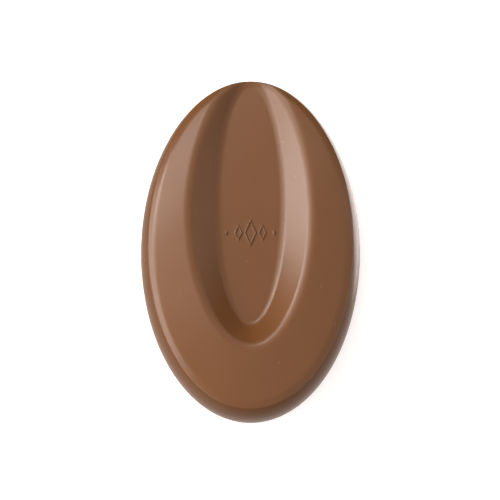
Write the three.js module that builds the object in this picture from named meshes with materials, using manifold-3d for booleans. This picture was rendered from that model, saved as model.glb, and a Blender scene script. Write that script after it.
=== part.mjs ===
// Chocolate egg: a solid, flat-backed, egg-shaped moulded chocolate. Its side curves in towards the top, a
// sloping rim leads to a low dome, and a long oval recess with sloping walls is scooped out of the dome.
// The floor of the recess carries a small raised row of lozenges.
// Millimetres, +Z up, origin at the middle of the flat underside, the long axis along Y.

import * as THREE from "three";
import { LoftGeometry } from "three/addons/geometries/LoftGeometry.js";
import { mergeVertices } from "three/addons/utils/BufferGeometryUtils.js";
import Module from "manifold-3d";

const { degToRad } = THREE.MathUtils;

// ---- Driving dimensions ----

const halfWidth = 13.5; // of the egg's outline, along X
const halfLength = 21.25; // of the egg's outline, along Y

const baseRound = 0.3; // rounding of the bottom edge
const sideHeight = 5.2; // from the underside to the shoulder
const draftAngle = degToRad(2); // lean of the side at its foot, from upright
const shoulderAngle = degToRad(30); // lean of the side at the shoulder, from upright
const rimWidth = 0.86; // from the shoulder in to the dome's edge
const rimHeight = 0.44; // from the shoulder up to the dome's edge
const domeRise = 1.5; // from the dome's edge to its crown

const floorHeight = 4.4; // of the recess floor
const floorHalfWidth = 3.9;
const floorHalfLength = 14.95;
const recessCentreY = 4.75; // the recess lies towards the far end
const wallRise = 2.0; // height over which the wall widths below are measured
const wallWidthSide = 3.2;
const wallWidthNear = 2.65; // at the end of -Y
const wallWidthFar = 3.3; // at the end of +Y, where the recess runs out over the rim
const footRound = 0.15; // rounding at the wall's foot, as a share of the wall's rise and width

const motifCentreY = 0.6;
const motifRelief = 0.16;
const motifSunk = 0.1; // how far the motif's solids reach below the recess floor
const lozengePitch = 1.42; // from one lozenge to the next
const lozengeLine = 0.2; // width of a lozenge's raised line
const lozengeSizes = [[0.74, 1.75], [0.5, 1.1], [0.24, 0.42]]; // half width and height, from the middle out
const fullLozenge = 0.8; // a lozenge whose line takes up this share of it or more has no hole

// ---- Fineness ----

const outlineSteps = 112;
const sideSteps = 8;
const rimSteps = 2;
const domeSteps = 10;
const roundSteps = 3;
const footSteps = 4;

// ---- Ovals and profiles ----

const steps = (count) => Array.from({ length: count }, (_, i) => (i + 1) / count);

/** One closed section: pointAt gives the point for each angle round the outline. */
function section(pointAt) {
  const points = [];
  for (let i = 0; i < outlineSteps; i++) {
    points.push(pointAt((2 * Math.PI * i) / outlineSteps));
  }
  return points;
}

/** An oval parallel to the base outline, moved in by inset and up to height. */
function insetOval(inset, height) {
  return section(
    (angle) =>
      new THREE.Vector3((halfWidth - inset) * Math.cos(angle), (halfLength - inset) * Math.sin(angle), height)
  );
}

// The side is an arc whose lean grows from draftAngle to shoulderAngle.
const sideRadius = sideHeight / (Math.sin(shoulderAngle) - Math.sin(draftAngle));
const sideInset = (lean) => sideRadius * (Math.cos(draftAngle) - Math.cos(lean));
const sideLift = (lean) => sideRadius * (Math.sin(lean) - Math.sin(draftAngle));

const domeInset = sideInset(shoulderAngle) + rimWidth;
const domeHeight = sideHeight + rimHeight;
const domeHalfWidth = halfWidth - domeInset;
const domeHalfLength = halfLength - domeInset;

// ---- Solids ----

/** The whole egg before the recess is cut: sections from the underside up to the crown. */
function bodyGeometry() {
  const sections = [insetOval(baseRound, 0)];
  for (const t of steps(roundSteps)) {
    const turn = (t * Math.PI) / 2 - t * draftAngle;
    sections.push(insetOval(baseRound * (1 - Math.sin(turn)), baseRound * (1 - Math.cos(turn))));
  }
  const firstLean = Math.asin(Math.sin(draftAngle) + baseRound / sideRadius);
  for (const t of steps(sideSteps)) {
    const lean = THREE.MathUtils.lerp(firstLean, shoulderAngle, t);
    sections.push(insetOval(sideInset(lean), sideLift(lean)));
  }
  for (const t of steps(rimSteps)) {
    sections.push(insetOval(sideInset(shoulderAngle) + t * rimWidth, sideHeight + t * rimHeight));
  }
  for (const t of steps(domeSteps)) {
    const share = 1 - t * (1 - 1 / (2 * domeSteps));
    sections.push(
      section(
        (angle) =>
          new THREE.Vector3(
            domeHalfWidth * share * Math.cos(angle),
            domeHalfLength * share * Math.sin(angle),
            domeHeight + domeRise * (1 - share ** 2)
          )
      )
    );
  }
  return new LoftGeometry(sections, { capStart: true, capEnd: true });
}

/** The shape that is scooped out: a flat oval floor, a rounded foot, and walls of a steady slope. */
function recessGeometry() {
  const wallOval = (reach, rise) =>
    section((angle) => {
      const wallWidthEnd = Math.sin(angle) < 0 ? wallWidthNear : wallWidthFar;
      return new THREE.Vector3(
        (floorHalfWidth + reach * wallWidthSide) * Math.cos(angle),
        recessCentreY + (floorHalfLength + reach * wallWidthEnd) * Math.sin(angle),
        floorHeight + rise * wallRise
      );
    });
  // The foot is a parabola from footRound inside the floor's oval, where it is flat, to footRound outside it.
  const sections = [wallOval(-footRound, 0)];
  for (const t of steps(footSteps)) {
    sections.push(wallOval(footRound * (2 * t - 1), footRound * t ** 2));
  }
  const topReach = 2;
  sections.push(wallOval(topReach, topReach));
  return new LoftGeometry(sections, { capStart: true, capEnd: true });
}

/** A flat lozenge ring, or a full lozenge where it is too small for a ring, standing on the recess floor. */
function lozengeGeometry([halfAcross, halfAlong], x) {
  const outline = (scale) =>
    [[1, 0], [0, 1], [-1, 0], [0, -1]].map(
      ([i, j]) => new THREE.Vector2(i * halfAcross * scale, j * halfAlong * scale)
    );
  const shape = new THREE.Shape(outline(1));
  const lineShare = (lozengeLine * Math.hypot(halfAcross, halfAlong)) / (halfAcross * halfAlong);
  if (lineShare < fullLozenge) {
    shape.holes.push(new THREE.Path(outline(1 - lineShare)));
  }
  const geometry = new THREE.ExtrudeGeometry(shape, { depth: motifRelief + motifSunk, bevelEnabled: false });
  return geometry.translate(x, motifCentreY, floorHeight - motifSunk);
}

/** The row of lozenges, mirrored about the egg's long axis. */
function motifGeometries() {
  const geometries = [];
  lozengeSizes.forEach((size, place) => {
    for (const side of place === 0 ? [0] : [-1, 1]) {
      geometries.push(lozengeGeometry(size, side * place * lozengePitch));
    }
  });
  return geometries;
}

// ---- Joining and cutting ----

const wasm = await Module();
wasm.setup();

function toManifold(geometry) {
  const bare = new THREE.BufferGeometry();
  bare.setIndex(geometry.index);
  bare.setAttribute("position", geometry.attributes.position);
  const merged = mergeVertices(bare);
  return new wasm.Manifold(
    new wasm.Mesh({
      numProp: 3,
      vertProperties: new Float32Array(merged.attributes.position.array),
      triVerts: new Uint32Array(merged.index.array),
    })
  );
}

function toGeometry(manifold) {
  const mesh = manifold.getMesh();
  const geometry = new THREE.BufferGeometry();
  geometry.setAttribute("position", new THREE.BufferAttribute(mesh.vertProperties, mesh.numProp));
  geometry.setIndex(new THREE.BufferAttribute(mesh.triVerts, 1));
  geometry.computeVertexNormals();
  return geometry;
}

let egg = toManifold(bodyGeometry()).subtract(toManifold(recessGeometry()));
for (const geometry of motifGeometries()) {
  egg = egg.add(toManifold(geometry));
}

// ---- The part ----

const milkChocolate = new THREE.MeshStandardMaterial({ color: 0x845b40, roughness: 0.38, metalness: 0 });

const chocolateEgg = new THREE.Mesh(toGeometry(egg), milkChocolate);
chocolateEgg.name = "chocolate_egg";

const part = new THREE.Group();
part.add(chocolateEgg);

export default part;
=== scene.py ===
"""Chocolate egg: a flat-backed, egg-shaped moulded milk chocolate on a pale studio floor.

The file is laid out as an add-on and is run as a script. Sizes are in metres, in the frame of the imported
model: +Z up, the long axis along Y. A size that is written in millimetres goes through length() or times MM.
"""

import math

import bpy
import numpy as np
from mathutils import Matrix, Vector


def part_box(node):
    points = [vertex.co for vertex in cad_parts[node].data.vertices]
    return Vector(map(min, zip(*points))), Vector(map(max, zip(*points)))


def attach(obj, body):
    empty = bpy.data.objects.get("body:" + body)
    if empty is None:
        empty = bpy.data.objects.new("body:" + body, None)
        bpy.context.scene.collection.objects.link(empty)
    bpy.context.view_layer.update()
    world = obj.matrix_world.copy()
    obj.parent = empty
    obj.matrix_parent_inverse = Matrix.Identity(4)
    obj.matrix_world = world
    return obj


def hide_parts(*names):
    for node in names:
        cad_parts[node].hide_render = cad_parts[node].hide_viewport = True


bl_info = {
    "name": "Chocolate Egg",
    "version": (1, 0, 0),
    "blender": (4, 5, 0),
    "location": "3D Viewport > Sidebar > Chocolate Egg",
    "description": "Moulds a flat-backed chocolate egg with a scooped recess and sets it on a studio floor",
    "category": "Add Mesh",
}

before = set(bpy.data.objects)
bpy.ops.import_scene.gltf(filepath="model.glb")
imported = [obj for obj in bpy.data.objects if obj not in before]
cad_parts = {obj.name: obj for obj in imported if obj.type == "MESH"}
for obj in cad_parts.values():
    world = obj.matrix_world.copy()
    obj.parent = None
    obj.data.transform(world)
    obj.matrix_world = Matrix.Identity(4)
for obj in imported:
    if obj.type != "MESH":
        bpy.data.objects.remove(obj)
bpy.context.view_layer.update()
NODE = "chocolate_egg"
BODY = "root"
EGG_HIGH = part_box(NODE)[1]
MM = 0.001


# -----------------------------------------------------------------------------------------------------------
# Sizes and colours that a user would change
# -----------------------------------------------------------------------------------------------------------


def length(name, description, default_mm):
    """A length property, given in millimetres and kept in metres."""
    return bpy.props.FloatProperty(
        name=name,
        description=description,
        default=default_mm * MM,
        unit="LENGTH",
        subtype="DISTANCE",
        precision=5,
    )


def degrees(name, description, default):
    """An angle property, given in degrees and kept in radians."""
    return bpy.props.FloatProperty(
        name=name, description=description, default=math.radians(default), unit="ROTATION", subtype="ANGLE"
    )


def share(name, description, default):
    """A plain number between 0 and 1."""
    return bpy.props.FloatProperty(name=name, description=description, default=default, min=0.0, max=1.0)


def colour(name, description, default):
    """A linear colour property."""
    return bpy.props.FloatVectorProperty(
        name=name, description=description, default=default, size=3, subtype="COLOR", min=0.0, max=1.0
    )


class EggShape(bpy.types.PropertyGroup):
    """The egg before the recess is scooped out."""

    half_width: length("Half width", "Half of the outline across", EGG_HIGH.x / MM)
    half_length: length("Half length", "Half of the outline along", EGG_HIGH.y / MM)
    base_round: length("Base round", "Rounding of the bottom edge", 0.3)
    side_height: length("Side height", "From the underside to the shoulder", 5.2)
    draft: degrees("Draft", "Lean of the side at its foot, from upright", 2.0)
    shoulder: degrees("Shoulder", "Lean of the side at the shoulder, from upright", 30.0)
    shoulder_round: length("Shoulder rounding", "Height over which the side turns into the rim", 0.14)
    rim_width: length("Rim width", "From the shoulder in to the dome's edge", 0.86)
    rim_height: length("Rim height", "From the shoulder up to the dome's edge", 0.44)
    rim_round: length("Rim rounding", "Height over which the rim turns into the dome", 0.08)
    dome_rise: length("Dome rise", "From the dome's edge to its crown", 1.5)


class RecessShape(bpy.types.PropertyGroup):
    """The oval recess scooped out of the dome."""

    floor_height: length("Floor height", "Height of the recess floor", 4.4)
    floor_half_width: length("Floor half width", "Half of the floor oval across", 3.9)
    floor_half_length: length("Floor half length", "Half of the floor oval along", 14.95)
    centre_y: length("Centre", "Place of the floor oval's centre along the egg", 4.75)
    wall_rise: length("Wall rise", "Height over which the wall widths are measured", 2.0)
    wall_side: length("Wall width, sides", "Plan width of the wall at the sides", 3.2)
    wall_near: length("Wall width, near end", "Plan width of the wall at the near end", 2.65)
    wall_far: length("Wall width, far end", "Plan width of the wall where the recess runs out", 3.3)
    foot_round: share("Foot rounding", "Rounding at the wall's foot, as a share of its rise and width", 0.15)
    crest_roll: length("Crest roll", "Gap to the wall's slope at which the dome begins to roll over", 0.6)
    crest_round: length("Crest rounding", "Gap to the dome at which the wall's top begins to turn", 0.45)


class MotifShape(bpy.types.PropertyGroup):
    """The raised row of lozenges on the recess floor."""

    centre_y: length("Centre", "Place of the row along the egg", 0.6)
    relief: length("Relief", "Height of the raised lines", 0.16)
    line: length("Line", "Width of a raised line", 0.2)
    pitch: length("Pitch", "From one lozenge to the next", 1.42)


class ChocolateFinish(bpy.types.PropertyGroup):
    """The look of the milk chocolate."""

    base: colour("Milk chocolate", "Colour of the chocolate", (0.179, 0.075, 0.0254))
    roughness: share("Roughness", "Sheen left by the polished mould; lower is glossier", 0.26)
    back_roughness: share("Back roughness", "Sheen of the open back", 0.55)


class StudioShape(bpy.types.PropertyGroup):
    """Camera and light."""

    view_tilt: degrees("View tilt", "Lean of the camera from straight above", 13.5)
    view_distance: length("View distance", "From the camera to the point it looks at", 86.2)


# -----------------------------------------------------------------------------------------------------------
# Surfaces
# -----------------------------------------------------------------------------------------------------------

AROUND = 360  # steps round the outline
UNDERSIDE_RINGS = 12
BASE_RINGS = 5
SIDE_RINGS = 18
RIM_RINGS = 44
DOME_RINGS = 40  # from the rim to the crest of the recess
WALL_RINGS = 60  # from the crest to the floor
FLOOR_RINGS = 12  # from the foot of the wall to the round patch under the motif
PATCH_RINGS = 56  # in the round patch

RIM_REACH = 4.0  # how far the rim's rings reach in over the dome, in rim roundings
FOOT_REACH = 1.15  # how far the innermost wall ring lies inside the floor oval, in foot roundings
CREST_CROWDING = 1.7  # power that draws the dome's rings towards the crest
EVEN_SHARE = 0.3  # of the wall's ring spacing is even, and the rest draws the rings to the crest and the foot
CREST_LIMITS = (0.08, 0.92)  # of the way from the rim to the innermost wall ring
INNER_TIP_Y = 17.3 * MM  # far end of the innermost wall ring, kept inside the rim
PATCH_RADIUS = 3.1 * MM  # inside the innermost wall ring

NEWTON_STEPS = 12
HALVINGS = 30
LEAST_SHARE = -0.5  # of the recess wall; the oval stays open there
TINY = 1e-9

# place in the row, half width and half height in millimetres
LOZENGES = ((0.0, 0.74, 1.75), (1.0, 0.5, 1.1), (2.0, 0.24, 0.42))
LINE_REACH = 0.6  # half width of a raised line's section, in line widths
FULL_LOZENGE = 1.5  # a lozenge whose middle is nearer to its edge than this, in line widths, has no hole


def soft_min(a, b, reach):
    """The lower of a and b, rounded where they are within reach of each other: min(a, b) less the square of
    what is left of reach, over four times reach."""
    near = np.maximum(reach - np.abs(a - b), 0.0)
    return np.minimum(a, b) - near**2 / (4.0 * reach)


def rolled_min(upper, cut, roll, turn):
    """The lower of an upper surface and a cut, with an edge that rolls over slowly on the upper surface and
    turns fast on the cut. With gap = cut - upper and edge = turn / (roll + turn), the slope passed on from
    the gap is edge (1 - gap / roll) for gaps from roll down to 0, and then grows evenly to 1 at a gap of
    -turn."""
    gap = cut - upper
    edge = turn / (roll + turn)
    above = np.clip(roll - gap, 0.0, roll)
    below = np.clip(-gap, 0.0, turn)
    rolled = -edge * above**2 / (2.0 * roll) - edge * below - (1.0 - edge) * below**2 / (2.0 * turn)
    return upper + np.where(gap < -turn, gap, rolled)


def wall_share(x, y, recess):
    """How far out on the recess wall a plan point lies: t such that the oval with half axes floor + t times
    wall width passes through it. Newton's method on |(x / a(t), y / b(t))| = 1, which falls steadily as t
    grows."""
    dy = y - recess.centre_y
    wall_end = np.where(dy < 0.0, recess.wall_near, recess.wall_far)
    t = np.full(x.shape, LEAST_SHARE)
    for _ in range(NEWTON_STEPS):
        a = recess.floor_half_width + t * recess.wall_side
        b = recess.floor_half_length + t * wall_end
        radius = np.maximum(np.hypot(x / a, dy / b), TINY)
        fall = ((x / a) ** 2 * recess.wall_side / a + (dy / b) ** 2 * wall_end / b) / radius
        t = np.maximum(t + (radius - 1.0) / np.maximum(fall, TINY), LEAST_SHARE)
    return t


def recess_height(x, y, recess):
    """The recess surface over a plan point: the floor, a parabola at the wall's foot, and a steady slope."""
    t = wall_share(x, y, recess)
    foot = recess.foot_round
    ramp = np.where(t < -foot, 0.0, np.where(t < foot, (t + foot) ** 2 / (4.0 * foot), t))
    return recess.floor_height + recess.wall_rise * ramp


def motif_relief(x, y, motif):
    """The raised lozenges over a plan point: each is a cosine bump across its outline, whose distance is
    (|x| / p + |y| / q - 1) times p q / hypot(p, q) for half diagonals p and q."""
    relief = np.zeros_like(x)
    across = np.abs(x)
    along = np.abs(y - motif.centre_y)
    reach = LINE_REACH * motif.line
    for place, half_width, half_height in LOZENGES:
        p, q = half_width * MM, half_height * MM
        inset = p * q / math.hypot(p, q)
        distance = (np.abs(across - place * motif.pitch) / p + along / q - 1.0) * inset
        if inset > FULL_LOZENGE * motif.line:
            off = np.abs(distance + motif.line / 2.0) / reach
        else:
            off = np.clip(distance / reach + 1.0, 0.0, None)
        relief = np.maximum(relief, 0.5 + 0.5 * np.cos(math.pi * np.clip(off, 0.0, 1.0)))
    return motif.relief * relief


class EggProfile:
    """The surfaces that the egg's outside follows. An inset is a distance in from the outline."""

    def __init__(self, egg):
        self.egg = egg
        self.radius = egg.side_height / (math.sin(egg.shoulder) - math.sin(egg.draft))
        self.shoulder_inset = self.radius * (math.cos(egg.draft) - math.cos(egg.shoulder))
        self.dome_inset = self.shoulder_inset + egg.rim_width
        self.dome_height = egg.side_height + egg.rim_height
        self.dome_half_width = egg.half_width - self.dome_inset
        self.dome_half_length = egg.half_length - self.dome_inset

    def side(self, inset):
        """Height of the side: an arc that leans over more and more, cos(lean) = cos(draft) - inset / radius
        and height = radius (sin(lean) - sin(draft))."""
        cos_lean = math.cos(self.egg.draft) - inset / self.radius
        return self.radius * (np.sqrt(1.0 - cos_lean**2) - math.sin(self.egg.draft))

    def rim(self, inset):
        """Height of the rim: a steady slope through the shoulder and the dome's edge."""
        return self.egg.side_height + (inset - self.shoulder_inset) * self.egg.rim_height / self.egg.rim_width

    def dome(self, x, y):
        """Height of the dome: its crown less the square of the share of the dome's oval."""
        share_squared = (x / self.dome_half_width) ** 2 + (y / self.dome_half_length) ** 2
        return self.dome_height + self.egg.dome_rise * (1.0 - share_squared)

    def body(self, inset, x, y):
        """The lowest of side, rim and dome, each turned smoothly into the next."""
        lower = soft_min(self.side(inset), self.rim(inset), self.egg.shoulder_round)
        return soft_min(lower, self.dome(x, y), self.egg.rim_round)


def column(count, start=0.0, end=1.0):
    """Evenly spaced values after start up to end, as a column to spread along the rings."""
    return (start + (end - start) * np.arange(1, count + 1) / count)[:, None]


def crest_share(outer, inner, profile, recess):
    """Where the recess meets the dome on the straight line from each outer to each inner plan point, as a
    share of the line, by halving the interval. It is kept a little off both ends."""
    low, high = np.zeros_like(outer[0]), np.ones_like(outer[0])
    for _ in range(HALVINGS):
        middle = 0.5 * (low + high)
        x = outer[0] + middle * (inner[0] - outer[0])
        y = outer[1] + middle * (inner[1] - outer[1])
        above = recess_height(x, y, recess) > profile.dome(x, y)
        low, high = np.where(above, middle, low), np.where(above, high, middle)
    return np.clip(low, *CREST_LIMITS)


def egg_rings(egg, recess, motif):
    """Rings of points from the middle of the underside, out and up round the side, and in over the dome and
    the recess to the middle of the motif. Each array is rings by steps round the outline."""
    profile = EggProfile(egg)
    angle = (2.0 * math.pi * np.arange(AROUND) / AROUND)[None, :]
    cos, sin = np.cos(angle), np.sin(angle)
    xs, ys, zs = [], [], []

    def add(x, y, z):
        x, y, z = np.broadcast_arrays(x, y, z)
        xs.append(x)
        ys.append(y)
        zs.append(z)

    def oval(inset):
        return (egg.half_width - inset) * cos, (egg.half_length - inset) * sin

    # underside
    reach = column(UNDERSIDE_RINGS)
    base_x, base_y = oval(egg.base_round)
    add(base_x * reach, base_y * reach, 0.0)

    # bottom edge
    turn = column(BASE_RINGS) * (math.pi / 2.0 - egg.draft)
    add(*oval(egg.base_round * (1.0 - np.sin(turn))), egg.base_round * (1.0 - np.cos(turn)))

    # side and rim
    rim_start = profile.shoulder_inset - egg.shoulder_round
    rim_end = profile.dome_inset + RIM_REACH * egg.rim_round
    first_lean = math.asin(math.sin(egg.draft) + egg.base_round / profile.radius)
    last_lean = math.acos(math.cos(egg.draft) - rim_start / profile.radius)
    side_inset = profile.radius * (math.cos(egg.draft) - np.cos(column(SIDE_RINGS, first_lean, last_lean)))
    for inset in (side_inset, column(RIM_RINGS, rim_start, rim_end)):
        x, y = oval(inset)
        add(x, y, profile.body(inset, x, y))

    # dome to the crest, and the recess wall from the crest to the floor
    outer = oval(rim_end)
    shrink = FOOT_REACH * recess.foot_round
    inner_width = recess.floor_half_width - shrink * recess.wall_side
    near_length = recess.floor_half_length - shrink * recess.wall_near
    inner_length = np.where(sin < 0.0, near_length, INNER_TIP_Y - recess.centre_y)
    inner = (inner_width * cos, recess.centre_y + inner_length * sin)
    crest = crest_share(outer, inner, profile, recess)
    to_crest = crest * (1.0 - (1.0 - column(DOME_RINGS)) ** CREST_CROWDING)
    even = column(WALL_RINGS)
    eased = 0.5 - 0.5 * np.cos(math.pi * even)
    to_floor = crest + (1.0 - crest) * (EVEN_SHARE * even + (1.0 - EVEN_SHARE) * eased)
    for inward in (to_crest, to_floor):
        x = outer[0] + inward * (inner[0] - outer[0])
        y = outer[1] + inward * (inner[1] - outer[1])
        add(x, y, profile.dome(x, y))

    # recess floor
    patch = (PATCH_RADIUS * cos, motif.centre_y + PATCH_RADIUS * sin)
    inward = column(FLOOR_RINGS)
    x = inner[0] + inward * (patch[0] - inner[0])
    y = inner[1] + inward * (patch[1] - inner[1])
    add(x, y, profile.dome(x, y))

    # round patch under the motif
    left = 1.0 - column(PATCH_RINGS, 0.0, 1.0 - 1.0 / PATCH_RINGS)
    x = PATCH_RADIUS * left * cos
    y = motif.centre_y + PATCH_RADIUS * left * sin
    add(x, y, profile.dome(x, y))

    x, y, z = (np.concatenate(parts) for parts in (xs, ys, zs))
    top = slice(UNDERSIDE_RINGS + BASE_RINGS, None)
    cut = recess_height(x[top], y[top], recess)
    z[top] = rolled_min(z[top], cut, recess.crest_roll, recess.crest_round)
    z[top] += motif_relief(x[top], y[top], motif)
    return x, y, z


def closed_mesh(name, x, y, z):
    """A closed mesh from rings of points: a fan from the middle of the first ring, bands of four-sided faces
    between the rings, and a fan to the middle of the last one. Faces point outwards."""
    rings, around = x.shape
    poles = [(float(x[k].mean()), float(y[k].mean()), float(z[k].mean())) for k in (0, -1)]
    points = np.column_stack([x.ravel(), y.ravel(), z.ravel()])
    points = np.vstack([points, poles])
    index = np.arange(rings * around).reshape(rings, around)
    following = np.roll(index, -1, axis=1)
    quads = np.stack([index[:-1], following[:-1], following[1:], index[1:]], axis=-1).reshape(-1, 4)
    low_pole, high_pole = rings * around, rings * around + 1
    low_fan = np.column_stack([following[0], index[0], np.full(around, low_pole)])
    high_fan = np.column_stack([index[-1], following[-1], np.full(around, high_pole)])
    corners = np.concatenate([quads.ravel(), low_fan.ravel(), high_fan.ravel()])
    sizes = np.concatenate([np.full(len(quads), 4), np.full(2 * around, 3)])
    starts = np.concatenate([[0], np.cumsum(sizes)[:-1]])
    mesh = bpy.data.meshes.new(name)
    mesh.vertices.add(len(points))
    mesh.vertices.foreach_set("co", points.astype(np.float32).ravel())
    mesh.loops.add(len(corners))
    mesh.loops.foreach_set("vertex_index", corners.astype(np.int32))
    mesh.polygons.add(len(sizes))
    mesh.polygons.foreach_set("loop_start", starts.astype(np.int32))
    mesh.polygons.foreach_set("use_smooth", np.ones(len(sizes), bool))
    mesh.update(calc_edges=True)
    mesh.validate()
    return mesh


def put_in_scene(name, data):
    """A new object at the origin that holds a mesh, a light or a camera."""
    thing = bpy.data.objects.new(name, data)
    bpy.context.scene.collection.objects.link(thing)
    return thing


# -----------------------------------------------------------------------------------------------------------
# Materials
# -----------------------------------------------------------------------------------------------------------

# features per metre, and detail
CLOUDS = (260.0, 3.0)
GRAIN = (900.0, 4.0)
PORES = (1800.0, 2.0)
STREAKS = (2200.0, 3.0)

CLOUD_SPREAD = 0.04  # share of the base colour, to both sides
GRAIN_SPREAD = 0.03  # added to the roughness, to both sides
STREAK_SPREAD = 0.1  # added to the back's roughness, to both sides
STREAK_STRETCH = (1.0, 0.06, 1.0)  # the scraper ran along the egg
PORE_DEPTH = 0.05  # in bump depths
BUMP_DEPTH = 0.02 * MM
BACK_HEIGHTS = (0.02 * MM, 0.25 * MM)  # all back below the first, none above the second

FLOOR_COLOUR = (0.8, 0.8, 0.8, 1.0)
FLOOR_GLOW = 0.6
FLOOR_ROUGHNESS = 0.9


def new_material(name):
    """A node material, with its nodes, its links and its Principled shader."""
    material = bpy.data.materials.new(name)
    material.use_nodes = True
    nodes, links = material.node_tree.nodes, material.node_tree.links
    return material, nodes, links, nodes["Principled BSDF"]


def noise(nodes, links, coordinates, scale, detail):
    """A noise pattern; scale is features per metre."""
    node = nodes.new("ShaderNodeTexNoise")
    node.inputs["Scale"].default_value = scale
    node.inputs["Detail"].default_value = detail
    links.new(coordinates, node.inputs["Vector"])
    return node.outputs["Fac"]


def spread(nodes, links, value, low, high, start=0.0, end=1.0):
    """Spreads a value that runs from start to end over low to high."""
    node = nodes.new("ShaderNodeMapRange")
    node.inputs["From Min"].default_value = start
    node.inputs["From Max"].default_value = end
    node.inputs["To Min"].default_value = low
    node.inputs["To Max"].default_value = high
    links.new(value, node.inputs["Value"])
    return node.outputs["Result"]


def spread_about(nodes, links, value, middle, reach):
    """Spreads a value that runs from 0 to 1 to reach below and above the middle."""
    return spread(nodes, links, value, middle - reach, middle + reach)


def blend(nodes, links, factor, first, second):
    """A value between first and second, which are sockets."""
    node = nodes.new("ShaderNodeMix")
    links.new(factor, node.inputs["Factor"])
    links.new(first, node.inputs["A"])
    links.new(second, node.inputs["B"])
    return node.outputs["Result"]


def chocolate_material(finish):
    """Milk chocolate: an even brown with faint clouding, and a surface that isn't quite smooth. What lay
    against the polished mould has a satin gloss. The open back is duller, with the fine streaks of the
    scraper."""
    material, nodes, links, shader = new_material("moulded_milk_chocolate")
    coordinates = nodes.new("ShaderNodeTexCoord").outputs["Object"]

    clouds = nodes.new("ShaderNodeMix")
    clouds.data_type = "RGBA"
    links.new(noise(nodes, links, coordinates, *CLOUDS), clouds.inputs["Factor"])
    clouds.inputs["A"].default_value = (*((1.0 - CLOUD_SPREAD) * c for c in finish.base), 1.0)
    clouds.inputs["B"].default_value = (*((1.0 + CLOUD_SPREAD) * c for c in finish.base), 1.0)
    links.new(clouds.outputs["Result"], shader.inputs["Base Color"])

    split = nodes.new("ShaderNodeSeparateXYZ")
    links.new(coordinates, split.inputs["Vector"])
    back = spread(nodes, links, split.outputs["Z"], 1.0, 0.0, *BACK_HEIGHTS)
    stretch = nodes.new("ShaderNodeMapping")
    stretch.inputs["Scale"].default_value = STREAK_STRETCH
    links.new(coordinates, stretch.inputs["Vector"])
    streaks = noise(nodes, links, stretch.outputs["Vector"], *STREAKS)
    grain = noise(nodes, links, coordinates, *GRAIN)

    gloss = spread_about(nodes, links, grain, finish.roughness, GRAIN_SPREAD)
    dull = spread_about(nodes, links, streaks, finish.back_roughness, STREAK_SPREAD)
    links.new(blend(nodes, links, back, gloss, dull), shader.inputs["Roughness"])

    pores = spread(nodes, links, noise(nodes, links, coordinates, *PORES), 0.0, PORE_DEPTH)
    bump = nodes.new("ShaderNodeBump")
    bump.inputs["Strength"].default_value = 1.0
    bump.inputs["Distance"].default_value = BUMP_DEPTH
    links.new(blend(nodes, links, back, pores, streaks), bump.inputs["Height"])
    links.new(bump.outputs["Normal"], shader.inputs["Normal"])
    return material


def floor_material():
    """A matt pale floor with a soft glow of its own, so that it stays pale where little light falls on it."""
    material, nodes, links, shader = new_material("pale_floor")
    shader.inputs["Base Color"].default_value = FLOOR_COLOUR
    shader.inputs["Emission Color"].default_value = (1.0, 1.0, 1.0, 1.0)
    shader.inputs["Emission Strength"].default_value = FLOOR_GLOW
    shader.inputs["Roughness"].default_value = FLOOR_ROUGHNESS
    shader.inputs["Specular IOR Level"].default_value = 0.0
    return material


# -----------------------------------------------------------------------------------------------------------
# Studio
# -----------------------------------------------------------------------------------------------------------

EGG_MIDDLE = Vector((0.0, 0.0, 4.0 * MM))
LIGHT_DISTANCE = 0.4

FLOOR_DROP = 0.02 * MM
FLOOR_RADIUS = 0.7
COVE_RADIUS = 0.4
WALL_TOP = 1.6
SWEEP_RINGS = 10
SWEEP_STEPS = 64

LENS = 50.0  # millimetres, as the sensor
SENSOR_WIDTH = 36.0
CLIP_START = 1.0 * MM
VIEW_TARGET = Vector((-0.05 * MM, -0.42 * MM, 0.0))

WARM_TINT = (1.0, 0.875, 0.804)
# sine of the elevation, and radiance of the surround there
SURROUND = (
    (-1.0, (0.74, 0.64, 0.59)),
    (-0.6, (0.24, 0.23, 0.23)),
    (0.0, (0.0, 0.0, 0.0)),
    (0.2, (0.0, 0.0, 0.0)),
    (0.55, (0.61, 0.55, 0.52)),
)
# name, azimuth and elevation of the middle, spans across and up, roll, all in degrees, radiance, and warmth
SOFTBOXES = (
    ("key", 153.5, 30.5, (21.0, 7.5), 9.0, 12.3, 0.6),
    ("key_side", 191.5, 27.5, (45.5, 9.5), 10.0, 7.8, 0.6),
    ("upper", 163.0, 56.5, (25.5, 47.0), -12.0, 1.1, 1.0),
    ("upper_far", 135.0, 48.5, (43.0, 15.5), 28.0, 3.2, 0.75),
    ("east_card", 25.5, 27.0, (13.5, 4.0), -5.0, 1.6, 0.0),
    ("low_east", -12.5, 1.0, (79.5, 11.5), 3.0, 3.5, 0.6),
    ("low_west_strip", 209.0, 9.5, (78.0, 10.5), -8.0, 6.0, 0.55),
    ("north_card", 112.5, 52.0, (82.0, 10.5), 21.0, 0.9, 1.0),
    ("floor_east", 41.5, -49.5, (43.5, 24.5), 8.0, 1.7, 0.65),
    ("north_strip", 120.5, 44.0, (32.0, 6.0), 26.0, 2.3, 0.5),
)




def aim(thing, place, target):
    """Puts a camera or light at place, looking at target."""
    thing.location = place
    thing.rotation_euler = (Vector(target) - Vector(place)).to_track_quat("-Z", "Y").to_euler()


def direction(azimuth, elevation):
    """A unit vector; azimuth is in degrees from +X towards +Y, elevation in degrees above the floor."""
    a, e = math.radians(azimuth), math.radians(elevation)
    return Vector((math.cos(a) * math.cos(e), math.sin(a) * math.cos(e), math.sin(e)))


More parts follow.
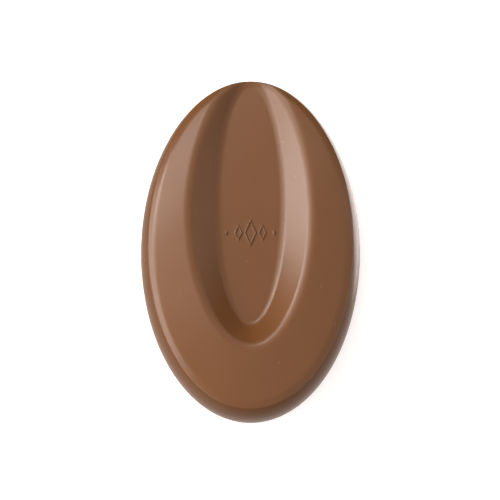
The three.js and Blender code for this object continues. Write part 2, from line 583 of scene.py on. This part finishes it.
def softbox(name, azimuth, elevation, spans, roll, radiance, warmth):
    """A rectangular soft light that faces the egg. Its spans are the degrees that it takes up across and
    upwards as the egg sees it, and its watts are worked out from the brightness of its face: pi times area
    times radiance. Its tint goes from neutral towards the warm one with its warmth."""
    data = bpy.data.lights.new(name, "AREA")
    data.shape = "RECTANGLE"
    data.size, data.size_y = (2.0 * LIGHT_DISTANCE * math.tan(math.radians(span) / 2.0) for span in spans)
    data.energy = math.pi * data.size * data.size_y * radiance
    data.color = [1.0 + warmth * (channel - 1.0) for channel in WARM_TINT]
    light = put_in_scene(name, data)
    aim(light, EGG_MIDDLE + LIGHT_DISTANCE * direction(azimuth, elevation), EGG_MIDDLE)
    light.rotation_euler.rotate_axis("Z", -math.radians(roll))


def sweep_mesh(name):
    """The studio sweep: a round floor that turns up through a quarter circle into a wall. Its profile, a row
    of radii and heights, is turned about the Z axis. It lies a hair below the egg's flat underside, so that
    no two faces share a plane."""
    turn = column(SWEEP_RINGS).ravel() * math.pi / 2.0
    wall_radius = FLOOR_RADIUS + COVE_RADIUS
    radius = np.concatenate([[FLOOR_RADIUS], FLOOR_RADIUS + COVE_RADIUS * np.sin(turn), [wall_radius]])
    height = np.concatenate([[0.0], COVE_RADIUS * (1.0 - np.cos(turn)), [WALL_TOP]]) - FLOOR_DROP
    angle = 2.0 * math.pi * np.arange(SWEEP_STEPS) / SWEEP_STEPS
    x, y = radius[:, None] * np.cos(angle), radius[:, None] * np.sin(angle)
    z = np.broadcast_to(height[:, None], x.shape)
    points = np.column_stack([x.ravel(), y.ravel(), z.ravel()])
    index = np.arange(x.size).reshape(x.shape)
    following = np.roll(index, -1, axis=1)
    wall = np.stack([index[:-1], index[1:], following[1:], following[:-1]], axis=-1).reshape(-1, 4)
    mesh = bpy.data.meshes.new(name)
    mesh.from_pydata(points.tolist(), [], [index[0].tolist(), *wall.tolist()])
    mesh.polygons.foreach_set("use_smooth", np.arange(len(mesh.polygons)) > 0)
    return mesh


def studio_world():
    """A soft surround whose brightness depends on the height in it: bright overhead, dark at the horizon, and
    some light thrown back from the floor close by."""
    world = bpy.data.worlds.new("studio")
    world.use_nodes = True
    nodes, links = world.node_tree.nodes, world.node_tree.links
    split = nodes.new("ShaderNodeSeparateXYZ")
    links.new(nodes.new("ShaderNodeTexCoord").outputs["Generated"], split.inputs["Vector"])
    height = spread(nodes, links, split.outputs["Z"], 0.0, 1.0, -1.0, 1.0)
    ramp = nodes.new("ShaderNodeValToRGB")
    ramp.color_ramp.interpolation = "EASE"
    stops = ramp.color_ramp.elements
    while len(stops) < len(SURROUND):
        stops.new(0.5)
    for stop, (sine, radiance) in zip(stops, SURROUND):
        stop.position = 0.5 + 0.5 * sine
        stop.color = (*radiance, 1.0)
    links.new(height, ramp.inputs["Fac"])
    links.new(ramp.outputs["Color"], nodes["Background"].inputs["Color"])
    return world


# -----------------------------------------------------------------------------------------------------------
# Operators
# -----------------------------------------------------------------------------------------------------------


class EGG_OT_mould(bpy.types.Operator):
    """Mould the chocolate egg with its recess and raised motif"""

    bl_idname = "chocolate_egg.mould"
    bl_label = "Mould the Egg"

    def execute(self, context):
        scene = context.scene
        mesh = closed_mesh("moulded_egg", *egg_rings(scene.egg_shape, scene.egg_recess, scene.egg_motif))
        mesh.materials.append(chocolate_material(scene.egg_finish))
        egg = put_in_scene("moulded_egg", mesh)
        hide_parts(NODE)
        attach(egg, BODY)
        return {"FINISHED"}


class EGG_OT_stage(bpy.types.Operator):
    """Lay out the pale floor, the soft lights and the camera"""

    bl_idname = "chocolate_egg.stage"
    bl_label = "Set the Stage"

    def execute(self, context):
        scene = context.scene
        studio = scene.egg_studio

        mesh = sweep_mesh("floor")
        mesh.materials.append(floor_material())
        floor = put_in_scene("floor", mesh)
        floor.visible_glossy = floor.visible_diffuse = floor.visible_shadow = False

        scene.world = studio_world()
        for settings in SOFTBOXES:
            softbox(*settings)

        data = bpy.data.cameras.new("camera")
        data.lens = LENS
        data.sensor_width = SENSOR_WIDTH
        data.clip_start = CLIP_START
        camera = put_in_scene("camera", data)
        back = Vector((0.0, -math.sin(studio.view_tilt), math.cos(studio.view_tilt)))
        aim(camera, VIEW_TARGET + studio.view_distance * back, VIEW_TARGET)
        scene.camera = camera

        scene.view_settings.view_transform = "Standard"
        scene.view_settings.look = "None"
        return {"FINISHED"}


# -----------------------------------------------------------------------------------------------------------
# Panel and registration
# -----------------------------------------------------------------------------------------------------------


class EGG_PT_panel(bpy.types.Panel):
    """Sizes, finish and studio of the chocolate egg"""

    bl_idname = "EGG_PT_panel"
    bl_label = "Chocolate Egg"
    bl_space_type = "VIEW_3D"
    bl_region_type = "UI"
    bl_category = "Chocolate Egg"

    def draw(self, context):
        layout = self.layout
        for group in GROUPS:
            box = layout.box()
            box.label(text=group.replace("egg_", "").capitalize())
            settings = getattr(context.scene, group)
            for name in settings.bl_rna.properties.keys():
                if name not in {"rna_type", "name"}:
                    box.prop(settings, name)
        for operator in OPERATORS:
            layout.operator(operator.bl_idname)


GROUPS = {
    "egg_shape": EggShape,
    "egg_recess": RecessShape,
    "egg_motif": MotifShape,
    "egg_finish": ChocolateFinish,
    "egg_studio": StudioShape,
}
OPERATORS = (EGG_OT_mould, EGG_OT_stage)
CLASSES = (*GROUPS.values(), *OPERATORS, EGG_PT_panel)


def register():
    """Makes the classes known to Blender and hangs their settings on the scene."""
    for cls in CLASSES:
        bpy.utils.register_class(cls)
    for name, group in GROUPS.items():
        setattr(bpy.types.Scene, name, bpy.props.PointerProperty(type=group))


def unregister():
    """Takes the settings and the classes away again."""
    for name in GROUPS:
        delattr(bpy.types.Scene, name)
    for cls in reversed(CLASSES):
        bpy.utils.unregister_class(cls)


def main():
    """Builds the egg and its studio."""
    register()
    bpy.ops.chocolate_egg.mould()
    bpy.ops.chocolate_egg.stage()


if __name__ == "__main__":
    main()
